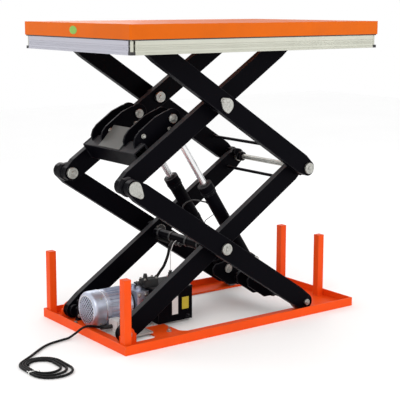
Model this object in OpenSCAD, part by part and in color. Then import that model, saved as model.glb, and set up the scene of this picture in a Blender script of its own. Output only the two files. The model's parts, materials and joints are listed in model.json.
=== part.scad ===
// Double scissor lift table with a hydraulic power pack in its base frame.
// X runs along the length, Y across the width, Z up from the floor.
// The origin is on the floor under the middle of the platform.

/* [Platform] */
// Length of the platform
platform_l = 1300; // [1260:5:1400]
// Width of the platform
platform_w = 850; // [840:5:1000]
// Depth of the folded skirt
skirt_h = 57; // [50:1:70]
// Thickness of the deck and skirt sheet
deck_t = 4; // [3:0.5:5]
// Top of the platform above the floor as modelled
rest_height = 1308; // [900:1:1600]
// Radius of the skirt's upright corners
skirt_corner_r = 8; // [4:1:12]

/* [Trip frame] */
// Height of the aluminium trip frame section
trip_h = 70; // [50:1:80]
// Thickness of the aluminium trip frame section
trip_t = 20; // [14:1:24]
// Height of the trip frame that shows below the skirt
trip_drop = 59; // [40:1:62]
// Free upward travel of the trip frame
trip_travel = 12; // [6:1:14]

/* [Base frame] */
// Length of the base frame
base_l = 1245; // [1230:1:1280]
// Width of the base frame
base_w = 680; // [676:1:760]
// Height of the upright leg of the base angles
base_h = 38; // [30:1:44]
// Thickness of the upright leg
base_wall = 5; // [4:0.5:6]
// Thickness of the flat leg that carries the rollers
track_t = 8; // [6:0.5:10]
// Width of the flat leg on the long sides
track_w = 110; // [108:1:112]
// Left end of the base frame
base_left = -630; // [-632:1:-628]

/* [Rest posts] */
// Width of the square rest posts
post_w = 33; // [28:1:33]
// Top of the rest posts above the floor
post_top = 303; // [250:1:310]

/* [Scissor arms] */
// Distance between the end pivots of an arm
arm_pitch = 1104; // [1100:1:1110]
// Depth of an arm
arm_d = 85; // [70:1:88]
// Thickness of an arm
arm_t = 30; // [24:1:30]
// Radius of an arm's end at a middle pivot
arm_end_r = 34; // [28:1:34]
// Middle of the outer arms from the centre line
outer_y = 285; // [285:1:290]
// Middle of the inner arms from the centre line
inner_y = 215; // [212:1:215]
// Radius of the main pivot pins
pin_r = 16; // [12:1:18]

/* [Cylinders] */
// Cylinder centre line from the table's centre line
cyl_y = 128; // [120:1:135]
// Outside radius of a barrel
barrel_r = 30; // [26:1:32]
// Radius of a piston rod
rod_r = 15; // [12:1:18]
// Distance from the lower pin to the top of the gland
barrel_len = 551; // [500:1:555]

/* [Power pack] */
// Outside radius of the motor's fan cover
motor_r = 78; // [70:1:78]
// Motor centre line across the base
motor_y = 52; // [40:1:60]
// Left face of the motor's fan cover
motor_left = -578; // [-580:1:-570]
// Length of the oil tank
tank_l = 180; // [150:1:185]
// Width of the oil tank
tank_w = 190; // [160:1:190]

/* [Hidden] */
$fn = 48;

orange = [0.93, 0.33, 0.10];
arm_black = [0.10, 0.10, 0.11];
zinc = [0.72, 0.72, 0.72];
alu = [0.80, 0.81, 0.82];

// Gap of a running fit, on the radius
run_gap = 0.05;
// Gap at the pivot between lower inner and upper outer arms, on the radius
loose_gap = 0.3;
// Gap between a turning face and its neighbour
face_gap = 0.3;

// Scissor geometry at rest
pin_z = 50;
top_pin_drop = 34;
hinge_x = -555;
fold_rise = (rest_height - pin_z - top_pin_drop) / 2;
rest_angle = asin(fold_rise / arm_pitch);
fold_run = arm_pitch * cos(rest_angle);
mid_z = pin_z + fold_rise;
top_z = pin_z + 2 * fold_rise;
roller_x = hinge_x + fold_run;
outer_in = outer_y - arm_t / 2;
outer_out = outer_y + arm_t / 2;
inner_in = inner_y - arm_t / 2;
inner_out = inner_y + arm_t / 2;
base_right = base_left + base_l;
base_half = base_w / 2;
deck_under = rest_height - deck_t;

// Pin details
head_r = 25;
head_t = 8;
collar_r = 25;
collar_t = 12;
keeper_r = 27;
keeper_t = 6;
boss_r = 30;
base_pin_r = 15;
top_pin_r = 12;
base_axle_r = 12;
top_axle_r = 10;
roller_gap = 0.1;
base_roller_r = pin_z - track_t - roller_gap;
track_strip_t = 4;
top_roller_r = top_pin_drop - deck_t - track_strip_t - roller_gap;
roller_y0 = inner_out + 6;
roller_w = 28;

// Cylinder pins, along and across the arm that carries each one
foot_u = 927;
head_u = 367;
head_v = 57;
foot = [hinge_x + foot_u * cos(rest_angle), mid_z - foot_u * sin(rest_angle)];
head = [hinge_x + head_u * cos(rest_angle) - head_v * sin(rest_angle),
        mid_z + head_u * sin(rest_angle) + head_v * cos(rest_angle)];
cyl_angle = atan2(head[1] - foot[1], head[0] - foot[0]);
cyl_len = norm(head - foot);
eye_r = 24;
eye_w = 36;
cyl_pin_r = 13;
plate_t = 8;
// Half the gap between a pair of plates, wide enough for the gland collar
plate_half = 35;

// Power pack
tray_top = track_t + 3;
motor_z = tray_top + motor_r;
pump_x = motor_left + 213;
tank_x = pump_x + 60;
tank_top = tray_top + 149;

// Power cord: route points chosen by hand, in order from the gland to the coil
cord_d = 10;
cord_route = [
    [-534, -50, 30], [-552, -50, 31], [-576, -48, 37], [-600, -44, 45], [-628, -38, 47],
    [-650, -32, 41], [-678, -25, 22], [-708, -22, 8], [-745, -25, 6], [-795, -36, 6],
    [-837, -54, 6], [-888, -90, 6], [-944, -135, 6], [-998, -173, 6]
];
coil_centre = [-952, -290];
coil_in = 50;
coil_out = 92;
coil_half = 44;
coil_h = 22;

// ---------- helpers ----------

module lower_inner_frame() {
    translate([hinge_x, 0, pin_z]) rotate([0, -rest_angle, 0]) children();
}

module lower_outer_frame() {
    translate([hinge_x, 0, mid_z]) rotate([0, rest_angle, 0]) children();
}

module upper_inner_frame() {
    translate([hinge_x, 0, mid_z]) rotate([0, -rest_angle, 0]) children();
}

module upper_outer_frame() {
    translate([hinge_x, 0, top_z]) rotate([0, rest_angle, 0]) children();
}

// A cylinder's own frame: X from the lower pin towards the upper pin
module cylinder_frame(y) {
    translate([foot[0], y, foot[1]]) rotate([0, -cyl_angle, 0]) children();
}

// Flat shape standing in the XZ plane, from y0 to y0 + t
module slab(y0, t) {
    translate([0, y0 + t, 0]) rotate([90, 0, 0]) linear_extrude(t) children();
}

// Round bar along Y from y0 to y1
module y_bar(r, y0, y1) {
    translate([0, y0, 0]) rotate([-90, 0, 0]) cylinder(r = r, h = y1 - y0);
}

// Round bar along X from x0 to x1
module x_bar(r, x0, x1) {
    translate([x0, 0, 0]) rotate([0, 90, 0]) cylinder(r = r, h = x1 - x0);
}

// Both sides of the table: the near one is mirrored
module both_sides() {
    children();
    mirror([0, 1, 0]) children();
}

module near_side() {
    mirror([0, 1, 0]) children();
}

// Outline of an arm: full depth between tapers that end in round noses
module arm_outline(r0, taper0, r1, taper1, bores) {
    h = arm_d / 2;
    difference() {
        union() {
            polygon([
                [0, r0], [taper0, h], [arm_pitch - taper1, h], [arm_pitch, r1],
                [arm_pitch, -r1], [arm_pitch - taper1, -h], [taper0, -h], [0, -r0]
            ]);
            circle(r = r0);
            translate([arm_pitch, 0]) circle(r = r1);
        }
        for (b = bores) translate([b[0], 0]) circle(r = b[1]);
    }
}

// Boss ring on an arm's face between y0 and y1, bored through
module boss(u, y0, y1, bore) {
    translate([u, 0, 0]) difference() {
        y_bar(boss_r, y0, y1);
        y_bar(bore, y0 - 1, y1 + 1);
    }
}

// ---------- base frame ----------

// L section: upright wall outside, flat leg inside
module side_rail() {
    difference() {
        translate([base_left + base_wall, base_half - track_w, 0])
            cube([base_l - 2 * base_wall, track_w, base_h]);
        translate([base_left, base_half - track_w - 1, track_t])
            cube([base_l, track_w + 1 - base_wall, base_h]);
    }
}

module base_rail_near() {
    color(orange) near_side() side_rail();
}

module base_rail_far() {
    color(orange) side_rail();
}

end_leg_left = 95;
end_leg_right = 150;

module end_angle(x_wall, x_leg, leg) {
    y_in = base_half - track_w;
    translate([x_wall, -base_half, 0]) cube([base_wall, base_w, base_h]);
    translate([x_leg, -y_in, 0]) cube([leg, 2 * y_in, track_t]);
}

module base_end_left() {
    color(orange) end_angle(base_left, base_left + base_wall, end_leg_left - base_wall);
}

module base_end_right() {
    color(orange)
        end_angle(base_right - base_wall, base_right - end_leg_right, end_leg_right - base_wall);
}

post_wall = 3;
left_post = [base_left + base_wall + 2 + post_w / 2, base_half - 34];
right_post = [base_right - base_wall - 4 - post_w / 2, 135];

module post() {
    h = post_top - track_t;
    difference() {
        translate([-post_w / 2, -post_w / 2, 0]) cube([post_w, post_w, h]);
        translate([-post_w / 2 + post_wall, -post_w / 2 + post_wall, -1])
            cube([post_w - 2 * post_wall, post_w - 2 * post_wall, h + 1 - post_wall]);
    }
}

module rest_posts() {
    color(orange) both_sides() {
        translate([left_post[0], left_post[1], track_t]) post();
        translate([right_post[0], right_post[1], track_t]) post();
    }
}

lug_t = 12;
lug_y0 = inner_out + 4;

module hinge_lugs() {
    rise = pin_z - track_t;
    color(orange) both_sides() translate([hinge_x, 0, pin_z]) slab(lug_y0, lug_t) difference() {
        union() {
            circle(r = 30);
            translate([-38, -rise]) square([76, rise]);
        }
        circle(r = base_pin_r);
    }
}

module hinge_pins() {
    color(zinc) both_sides() translate([hinge_x, 0, pin_z]) {
        y_bar(base_pin_r, inner_in - face_gap, lug_y0 + lug_t + 4);
        y_bar(collar_r, inner_in - face_gap - collar_t, inner_in - face_gap);
    }
}

tray_near = -176;
tray_narrow = -90;
tray_far = 136;
tray_x0 = base_left + end_leg_left - 10;
tray_wide_x = -386;
tray_x1 = tank_x + tank_l - 10;

bracket_x = [-395, -275];
bracket_in = 60;
bracket_r = 34;
bracket_tip = 8;
tray_bolt_x = [-375, -330];
tray_bolt_y = 76;

// Bracket plate: a tongue from the rail with two curved corners, cut short of a sharp tip
module bracket_plate() {
    w = bracket_x[1] - bracket_x[0];
    y_rail = base_half - track_w;
    reach = bracket_r - bracket_tip;
    translate([bracket_x[0], bracket_in]) square([w, y_rail - bracket_in]);
    difference() {
        translate([bracket_x[0] - reach, y_rail - bracket_r]) square([w + 2 * reach, bracket_r]);
        for (x = [bracket_x[0] - bracket_r, bracket_x[1] + bracket_r])
            translate([x, y_rail - bracket_r]) circle(r = bracket_r);
    }
}

// Tray, wide under the motor and narrow under the pump and the tank, on two bracket plates
module pack_tray() {
    color([0.78, 0.76, 0.74]) difference() {
        union() {
            translate([0, 0, track_t]) linear_extrude(tray_top - track_t) {
                translate([tray_x0, tray_near])
                    square([tray_wide_x - tray_x0, tray_far - tray_near]);
                translate([tray_x0, tray_narrow])
                    square([tray_x1 - tray_x0, tray_far - tray_narrow]);
            }
            for (s = [0, 1]) mirror([0, s, 0]) linear_extrude(track_t) bracket_plate();
        }
        for (x = tray_bolt_x, y = [-tray_bolt_y, tray_bolt_y])
            translate([x, y, -1]) cylinder(r = 5.05, h = 20);
    }
}

module tray_bolts() {
    color(zinc) for (x = tray_bolt_x, y = [-tray_bolt_y, tray_bolt_y]) translate([x, y, 1]) {
        cylinder(r = 5, h = tray_top - 1);
        translate([0, 0, tray_top - 1]) cylinder(r = 9, h = 7, $fn = 6);
    }
}

// ---------- power pack ----------

cover_l = 42;
cover_wall = 2.5;
body_l = 150;
fin_count = 28;

module motor_frame() {
    translate([motor_left, motor_y, motor_z]) children();
}

module motor_fan_cover() {
    slot_r = [[24, 36], [42, 54], [60, 70]];
    color(alu) motor_frame() difference() {
        x_bar(motor_r, 0, cover_l);
        x_bar(motor_r - cover_wall, cover_wall, cover_l + 1);
        for (s = slot_r) difference() {
            x_bar(s[1], -1, cover_wall + 1);
            x_bar(s[0], -2, cover_wall + 2);
            for (a = [0 : 22.5 : 157.5]) rotate([a, 0, 0])
                translate([-2, -motor_r, -2]) cube([cover_wall + 4, 2 * motor_r, 4]);
        }
    }
}

module motor_fan() {
    color([0.25, 0.25, 0.27]) motor_frame() {
        difference() {
            x_bar(16, 10, cover_l - 6);
            x_bar(8, 9, cover_l);
        }
        for (a = [0 : 45 : 315]) rotate([a, 0, 0])
            translate([12, -1.5, 15.5]) cube([22, 3, 50]);
        x_bar(8, 8, cover_l + 70);
    }
}

module motor_body() {
    color(alu) motor_frame() difference() {
        union() {
            x_bar(motor_r - cover_wall - 0.2, cover_l - 5, cover_l + 12);
            x_bar(motor_r - 8, cover_l + 12, cover_l + body_l);
            for (a = [0 : 360 / fin_count : 359]) rotate([a, 0, 0])
                translate([cover_l + 20, -1.25, 0]) cube([body_l - 36, 2.5, motor_r - 1]);
            x_bar(motor_r - 3, cover_l + body_l - 14, cover_l + body_l);
            x_bar(52, cover_l + body_l, pump_x - motor_left);
        }
        x_bar(8 + run_gap, 0, cover_l + 72);
    }
}

box_x = motor_left + 64;
box_y = -96;

module terminal_box() {
    color([0.70, 0.71, 0.70]) difference() {
        translate([box_x, box_y, tray_top]) cube([44, motor_y - motor_r - 0.2 - box_y, 48]);
        translate([box_x - 1, cord_route[0][1], cord_route[0][2]]) x_bar(6, 0, 12);
    }
}

module pump_block() {
    color([0.62, 0.62, 0.62]) difference() {
        union() {
            translate([pump_x, -20, 52]) cube([60, 130, 96]);
            translate([pump_x + 30, 10, 148]) cylinder(r = 13, h = 14);
            translate([pump_x + 30, 60, 148]) cylinder(r = 13, h = 14);
        }
        translate([pump_x + 30, -21, 100]) rotate([-90, 0, 0]) cylinder(r = 8 + run_gap, h = 22);
    }
}

module lowering_button() {
    color([0.80, 0.10, 0.08]) translate([pump_x + 30, -38, 100]) rotate([-90, 0, 0]) {
        cylinder(r = 8, h = 34);
        cylinder(r = 13, h = 10);
    }
}

module oil_tank() {
    color(arm_black) difference() {
        translate([tank_x, -tank_w / 2, tray_top]) cube([tank_l, tank_w, tank_top - tray_top]);
        translate([tank_x + 3, -tank_w / 2 + 3, tray_top + 3])
            cube([tank_l - 6, tank_w - 6, tank_top - tray_top - 6]);
        translate([tank_x + 40, 50, tank_top - 10]) cylinder(r = 12, h = 30);
    }
}

module filler_cap() {
    color([0.15, 0.15, 0.16]) translate([tank_x + 40, 50, tank_top - 14]) {
        cylinder(r = 12 - run_gap, h = 14);
        translate([0, 0, 14]) cylinder(r = 19, h = 14);
    }
}

module solenoid_valve() {
    color([0.20, 0.20, 0.21]) translate([tank_x + 130, 0, tank_top]) {
        translate([-16, -16, 0]) cube([32, 32, 22]);
        translate([0, 0, 22]) cylinder(r = 12, h = 14);
        translate([0, 0, 36]) cylinder(r = 7, h = 18);
    }
}

// Gland: a threaded stem in the box wall and a domed nut outside it
module cable_gland() {
    color([0.12, 0.12, 0.13]) translate([0, cord_route[0][1], cord_route[0][2]]) {
        x_bar(6, box_x - 1, box_x + 10);
        translate([box_x - 12, 0, 0]) rotate([0, 90, 0]) cylinder(r = 10, h = 12, $fn = 6);
        x_bar(7.5, cord_route[0][0], box_x - 12);
    }
}

// ---------- power cord ----------

// Smooth curve through the route: Catmull-Rom between its points
function spline(p, i, t) =
    let (
        n = len(p) - 1,
        a = p[max(i - 1, 0)], b = p[i], c = p[min(i + 1, n)], d = p[min(i + 2, n)]
    )
    0.5 * (2 * b + (c - a) * t + (2 * a - 5 * b + 4 * c - d) * t * t
        + (3 * b - a - 3 * c + d) * t * t * t);

cord_steps = 5;
cord_sides = 10;
cord_line = [
    for (i = [0 : len(cord_route) - 2], k = [0 : cord_steps - 1])
        spline(cord_route, i, k / cord_steps),
    cord_route[len(cord_route) - 1]
];

module power_cord() {
    n = len(cord_line);
    rings = [
        for (i = [0 : n - 1])
            let (
                t = cord_line[min(i + 1, n - 1)] - cord_line[max(i - 1, 0)],
                side = cross(t, [0, 0, 1]) / norm(cross(t, [0, 0, 1])),
                up = cross(side, t) / norm(cross(side, t))
            )
            for (k = [0 : cord_sides - 1])
                let (a = 360 * k / cord_sides)
                cord_line[i] + cord_d / 2 * (cos(a) * side + sin(a) * up)
    ];
    faces = [
        [for (k = [0 : cord_sides - 1]) k],
        [for (k = [cord_sides - 1 : -1 : 0]) (n - 1) * cord_sides + k],
        for (i = [0 : n - 2], k = [0 : cord_sides - 1])
            let (m = (k + 1) % cord_sides)
            [i * cord_sides + k, (i + 1) * cord_sides + k, (i + 1) * cord_sides + m,
             i * cord_sides + m]
    ];
    color([0.08, 0.08, 0.09]) polyhedron(points = rings, faces = faces);
}

// Oval with two straight sides
module oval(r) {
    square([2 * r, 2 * coil_half], center = true);
    for (y = [-coil_half, coil_half]) translate([0, y]) circle(r = r);
}

module cord_coil() {
    color([0.08, 0.08, 0.09]) translate([coil_centre[0], coil_centre[1], 0.5])
        linear_extrude(coil_h) difference() {
            oval(coil_out);
            oval(coil_in);
        }
}

// Band round the coil's left side, in four flat lengths
module cord_tie() {
    w = coil_out - coil_in;
    translate([coil_centre[0] - coil_out, coil_centre[1] - 30, 0.5]) color([0.9, 0.9, 0.88]) {
        translate([-1.5, 0, coil_h]) cube([w + 3, 10, 1.5]);
        translate([-1.5, 0, 4]) cube([1.5, 10, coil_h - 4]);
    }
}

// ---------- lower inner arms ----------

module lower_inner_arm() {
    slab(inner_in, arm_t)
        arm_outline(36, 60, arm_end_r, 40,
            [[0, base_pin_r + run_gap], [arm_pitch / 2, pin_r], [arm_pitch, pin_r]]);
    boss(arm_pitch / 2, inner_out, outer_in - face_gap, pin_r);
    boss(arm_pitch, inner_out, outer_in - face_gap, pin_r);
}

module lower_inner_arm_near() {
    color(arm_black) lower_inner_frame() near_side() lower_inner_arm();
}

module lower_inner_arm_far() {
    color(arm_black) lower_inner_frame() lower_inner_arm();
}

// The tube ends on the inner collars of the centre pins
cross_u = 527;
cross_half = inner_in - collar_t;

module lower_inner_cross_tube() {
    color(arm_black) lower_inner_frame() {
        translate([cross_u, 0, 8]) difference() {
            y_bar(21, -cross_half, cross_half);
            y_bar(17, -cross_half - 1, cross_half + 1);
        }
        translate([arm_pitch - 78, 0, -8]) y_bar(7, -inner_in, inner_in);
    }
}

module mid_tie_tube() {
    color(zinc) lower_inner_frame() translate([arm_pitch, 0, 0])
        y_bar(12, -inner_in + collar_t, inner_in - collar_t);
}

// A pin pressed into the inner arm, its head outside the outer arm
module inner_fixed_pin() {
    y_bar(pin_r, inner_in, outer_out + face_gap);
    y_bar(head_r, outer_out + face_gap, outer_out + face_gap + head_t);
    y_bar(collar_r, inner_in - collar_t, inner_in);
}

module inner_arm_pins() {
    color(zinc) lower_inner_frame() both_sides() for (u = [arm_pitch / 2, arm_pitch])
        translate([u, 0, 0]) inner_fixed_pin();
}

// ---------- lower outer arms ----------

module lower_outer_arm() {
    slab(outer_in, arm_t)
        arm_outline(arm_end_r, 40, 36, 60,
            [[0, pin_r], [arm_pitch / 2, pin_r + run_gap], [arm_pitch, base_axle_r]]);
}

module lower_outer_arm_near() {
    color(arm_black) lower_outer_frame() near_side() lower_outer_arm();
}

module lower_outer_arm_far() {
    color(arm_black) lower_outer_frame() lower_outer_arm();
}

foot_tube_u = 1012;
foot_tube_r = 28;

module lower_outer_cross_tube() {
    color(arm_black) lower_outer_frame() translate([foot_tube_u, 0, -6]) difference() {
        y_bar(foot_tube_r, -outer_in, outer_in);
        y_bar(foot_tube_r - 5, -outer_in - 1, outer_in + 1);
    }
}

// The four plates of a pair on each side of both cylinders
module plate_pairs() {
    both_sides() for (y = [cyl_y - plate_half - plate_t, cyl_y + plate_half])
        slab(y, plate_t) children();
}

module plate_stubs() {
    out = plate_half + plate_t;
    both_sides() translate([0, cyl_y, 0]) for (s = [0, 1]) mirror([0, s, 0]) {
        y_bar(cyl_pin_r, plate_half, out);
        y_bar(20, out, out + 5);
    }
}

// Pairs of plates on the cross tube that hold the cylinders' lower pins
module cylinder_foot_plates() {
    color(arm_black) lower_outer_frame() plate_pairs() difference() {
        union() {
            translate([foot_u, 0]) circle(r = 38);
            polygon([
                [foot_u, 38], [foot_tube_u, 30], [foot_tube_u, -42], [980, -62],
                [870, -62], [848, -40], [852, -16], [foot_u - 27, 27]
            ]);
            translate([foot_tube_u, -6]) circle(r = 36);
        }
        translate([foot_tube_u, -6]) circle(r = foot_tube_r);
        translate([foot_u, 0]) circle(r = cyl_pin_r);
    }
}

module left_mid_pins() {
    color(zinc) lower_outer_frame() both_sides() {
        y_bar(pin_r, inner_in - face_gap, outer_out);
        y_bar(collar_r, inner_in - face_gap - collar_t, inner_in - face_gap);
        // Retaining plate with its bolt
        slab(outer_out, keeper_t) {
            circle(r = keeper_r);
            translate([6, -20]) square([40, 18]);
        }
        translate([38, 0, -11]) y_bar(6, outer_out + keeper_t, outer_out + keeper_t + 5);
    }
}

// Stub pins in the foot plates, with their heads outside
module foot_pins() {
    color(zinc) lower_outer_frame() translate([foot_u, 0, 0]) plate_stubs();
}

module base_roller_axles() {
    color(zinc) lower_outer_frame() both_sides() translate([arm_pitch, 0, 0]) {
        y_bar(base_axle_r, roller_y0 - face_gap - 4, outer_out + 8);
        y_bar(18, roller_y0 - face_gap - 4, roller_y0 - face_gap);
    }
}

module base_roller() {
    translate([roller_x, 0, pin_z]) difference() {
        y_bar(base_roller_r, roller_y0, roller_y0 + roller_w);
        y_bar(base_axle_r + run_gap, roller_y0 - 1, roller_y0 + roller_w + 1);
    }
}

module base_roller_near() {
    color([0.30, 0.30, 0.31]) near_side() base_roller();
}

module base_roller_far() {
    color([0.30, 0.30, 0.31]) base_roller();
}

// ---------- cylinders ----------

// A plunger cylinder: the rod's inner end carries only a thin stop ring
rod_len = 577;
barrel_floor = 24;
gland_t = 9;

module barrel() {
    difference() {
        union() {
            translate([0, -eye_w / 2, -20]) cube([44, eye_w, 40]);
            x_bar(barrel_r, 40, barrel_len - 28);
            x_bar(barrel_r + 3, barrel_len - 34, barrel_len);
            y_bar(eye_r, -eye_w / 2, eye_w / 2);
            // Oil port
            translate([78, 0, 0]) rotate([180, 0, 0]) cylinder(r = 9, h = barrel_r + 12);
        }
        x_bar(17, barrel_floor, 50);
        x_bar(barrel_r - 6, 48, barrel_len - gland_t);
        x_bar(rod_r + run_gap, barrel_len - gland_t - 1, barrel_len + 1);
    }
    eye_pin();
}

module piston_rod() {
    x_bar(rod_r, cyl_len - rod_len, cyl_len - 10);
    x_bar(rod_r + 1.5, cyl_len - rod_len, cyl_len - rod_len + 9);
    translate([cyl_len, 0, 0]) {
        y_bar(eye_r, -eye_w / 2, eye_w / 2);
        eye_pin();
    }
}

// Short pin across an eye, between the plates
module eye_pin() {
    for (s = [0, 1]) mirror([0, s, 0]) y_bar(cyl_pin_r, eye_w / 2, plate_half - 1);
}

module cylinder_barrel_near() {
    color(arm_black) cylinder_frame(-cyl_y) barrel();
}

module cylinder_barrel_far() {
    color(arm_black) cylinder_frame(cyl_y) barrel();
}

module piston_rod_near() {
    color([0.85, 0.85, 0.86]) cylinder_frame(-cyl_y) piston_rod();
}

module piston_rod_far() {
    color([0.85, 0.85, 0.86]) cylinder_frame(cyl_y) piston_rod();
}

// ---------- upper inner arms ----------

module upper_inner_arm() {
    slab(inner_in, arm_t)
        arm_outline(arm_end_r, 40, 26, 150,
            [[0, pin_r + run_gap], [arm_pitch / 2, pin_r + run_gap], [arm_pitch, top_axle_r]]);
    boss(0, inner_out, outer_in - face_gap, pin_r + run_gap);
    boss(arm_pitch / 2, inner_out, outer_in - face_gap, pin_r + run_gap);
}

module upper_inner_arm_near() {
    color(arm_black) upper_inner_frame() near_side() upper_inner_arm();
}

module upper_inner_arm_far() {
    color(arm_black) upper_inner_frame() upper_inner_arm();
}

member_u = [118, 184];
member_v = [-8, 66];

module bracket_cross_member() {
    size = [member_u[1] - member_u[0], 2 * inner_in, member_v[1] - member_v[0]];
    color(arm_black) upper_inner_frame() difference() {
        translate([member_u[0], -inner_in, member_v[0]]) cube(size);
        translate([member_u[0] + 5, -inner_in - 1, member_v[0] + 5])
            cube([size[0] - 10, size[1] + 2, size[2] - 10]);
    }
}

// Hooked plates that hold the upper ends of the cylinders
module cylinder_bracket_plates() {
    color(arm_black) upper_inner_frame() plate_pairs() difference() {
        union() {
            polygon([
                [member_u[1], -6], [member_u[1], member_v[1]], [150, member_v[1]], [156, 88],
                [176, 104], [205, 112], [300, 114], [360, 102], [head_u, head_v], [345, 12],
                [300, -6]
            ]);
            translate([head_u, head_v]) circle(r = 42);
        }
        translate([head_u, head_v]) circle(r = cyl_pin_r);
    }
}

module head_pins() {
    color(zinc) upper_inner_frame() translate([head_u, 0, head_v]) plate_stubs();
}

module upper_inner_top_tube() {
    color(arm_black) upper_inner_frame() translate([arm_pitch - 70, 0, 0]) difference() {
        y_bar(15, -inner_in, inner_in);
        y_bar(12, -inner_in - 1, inner_in + 1);
    }
}

module top_roller_axles() {
    color(zinc) upper_inner_frame() both_sides() translate([arm_pitch, 0, 0]) {
        y_bar(top_axle_r, inner_in - 4, roller_y0 + roller_w + face_gap + 3);
        y_bar(15, roller_y0 + roller_w + face_gap, roller_y0 + roller_w + face_gap + 3);
    }
}

module top_roller() {
    translate([roller_x, 0, top_z]) difference() {
        y_bar(top_roller_r, roller_y0, roller_y0 + roller_w);
        y_bar(top_axle_r + run_gap, roller_y0 - 1, roller_y0 + roller_w + 1);
    }
}

module top_roller_near() {
    color([0.30, 0.30, 0.31]) near_side() top_roller();
}

module top_roller_far() {
    color([0.30, 0.30, 0.31]) top_roller();
}

// ---------- upper outer arms ----------

module upper_outer_arm() {
    slab(outer_in, arm_t)
        arm_outline(26, 150, arm_end_r, 40,
            [[0, top_pin_r + run_gap], [arm_pitch / 2, pin_r], [arm_pitch, pin_r + loose_gap]]);
}

module upper_outer_arm_near() {
    color(arm_black) upper_outer_frame() near_side() upper_outer_arm();
}

module upper_outer_arm_far() {
    color(arm_black) upper_outer_frame() upper_outer_arm();
}

module upper_outer_tie_rod() {
    color(arm_black) upper_outer_frame() translate([arm_pitch - 130, 0, 25])
        y_bar(7, -outer_in, outer_in);
}

module upper_centre_pins() {
    color(zinc) upper_outer_frame() both_sides() translate([arm_pitch / 2, 0, 0]) {
        y_bar(pin_r, inner_in - face_gap, outer_out);
        y_bar(collar_r, inner_in - face_gap - collar_t, inner_in - face_gap);
        // Retaining plate with its bolt
        slab(outer_out, keeper_t) {
            circle(r = keeper_r);
            translate([-36, -4]) square([30, 16]);
        }
        translate([-28, 0, 4]) y_bar(6, outer_out + keeper_t, outer_out + keeper_t + 5);
    }
}

// ---------- platform ----------

// Rectangle with rounded corners, centred
module rounded_rect(l, w, r) {
    square([l - 2 * r, w], center = true);
    square([l, w - 2 * r], center = true);
    for (x = [-1, 1], y = [-1, 1]) translate([x * (l / 2 - r), y * (w / 2 - r)]) circle(r = r);
}

module platform_deck() {
    color(orange) translate([0, 0, rest_height - skirt_h]) difference() {
        linear_extrude(skirt_h) rounded_rect(platform_l, platform_w, skirt_corner_r);
        translate([0, 0, -1]) linear_extrude(skirt_h - deck_t + 1)
            rounded_rect(platform_l - 2 * deck_t, platform_w - 2 * deck_t,
                skirt_corner_r - deck_t);
    }
}

hanger_x = platform_l / 2 - 60;
hanger_y = platform_w / 2 - 48;
trip_z = rest_height - skirt_h - trip_drop;
tab_z = trip_z + 48;
tab_t = 4;
tab_l = 30;
hanger_r = 4;
buffer_r = 9;
// Gap left between a tab and its buffer at the top of the trip frame's travel
buffer_gap = 2;
rib_t = 6;
rib_h = 30;
channel_wall = 3;

stop_h = skirt_h - deck_t - 1;

module deck_fittings() {
    lug_in = outer_in - face_gap - 12;
    color(orange) both_sides() {
        // Hinge lugs for the upper outer arms
        translate([hinge_x, 0, top_z]) slab(lug_in, 12) difference() {
            union() {
                circle(r = 24);
                translate([-30, 0]) square([60, deck_under - top_z]);
            }
            circle(r = top_pin_r);
        }
        // Wear strips for the upper rollers
        translate([60, roller_y0, deck_under - track_strip_t])
            cube([508, roller_w, track_strip_t]);
        // End channels that come down on the rest posts
        for (x = [left_post[0], right_post[0]])
            translate([x, 0, deck_under - stop_h]) difference() {
                translate([-post_w / 2, 0, 0]) cube([post_w, base_half - 8, stop_h]);
                translate([channel_wall - post_w / 2, -1, channel_wall])
                    cube([post_w - 2 * channel_wall, base_half, stop_h]);
            }
        // Stiffening ribs outside the arms
        translate([-580, outer_out + 16, deck_under - rib_h]) cube([1140, rib_t, rib_h]);
        // Hanger bolts and buffers of the trip frame
        for (x = [-1, 1]) translate([x * hanger_x, hanger_y, 0]) {
            bolt_z = tab_z - 2 * tab_t;
            buffer_z = tab_z + tab_t + trip_travel + buffer_gap;
            translate([0, 0, bolt_z]) cylinder(r = hanger_r, h = deck_under - bolt_z);
            translate([0, 0, bolt_z]) cylinder(r = buffer_r, h = 2 * tab_t);
            translate([0, 0, buffer_z]) cylinder(r = buffer_r, h = deck_under - buffer_z);
        }
    }
}

module platform_hinge_pins() {
    color(zinc) both_sides() translate([hinge_x, 0, top_z]) {
        y_bar(top_pin_r, outer_in - face_gap - 16, outer_out + face_gap);
        y_bar(18, outer_out + face_gap, outer_out + face_gap + 6);
    }
}

// ---------- trip frame ----------

trip_half_l = platform_l / 2 - 6;
trip_half_w = platform_w / 2 - 6;
corner_w = trip_t;

// Aluminium section seen from its end: ribbed outside, hollow inside
module trip_section() {
    difference() {
        square([trip_t, trip_h]);
        translate([3, 3]) square([trip_t - 6, trip_h / 2 - 4.5]);
        translate([3, trip_h / 2 + 1.5]) square([trip_t - 6, trip_h / 2 - 4.5]);
        for (z = [8, 18, 28]) translate([trip_t - 1.2, z]) square([2, 2]);
    }
}

// Tab with a hole that hangs on a hanger bolt
module trip_tab() {
    difference() {
        translate([-tab_l / 2, -16, 0])
            cube([tab_l, trip_half_w - trip_t - hanger_y + 16, tab_t]);
        translate([0, 0, -1]) cylinder(r = hanger_r + 1, h = tab_t + 2);
    }
}

module trip_frame_long() {
    len_x = 2 * (trip_half_l - corner_w);
    color(alu) both_sides() {
        translate([-len_x / 2, trip_half_w - trip_t, trip_z]) rotate([90, 0, 90])
            linear_extrude(len_x) trip_section();
        for (x = [-1, 1]) translate([x * hanger_x, hanger_y, tab_z]) trip_tab();
    }
}

module trip_frame_short() {
    len_y = 2 * (trip_half_w - corner_w);
    color(alu) for (s = [0, 1]) mirror([s, 0, 0])
        translate([trip_half_l - trip_t, len_y / 2, trip_z]) rotate([90, 0, 0])
            linear_extrude(len_y) trip_section();
}

cap_h = 12;

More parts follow.
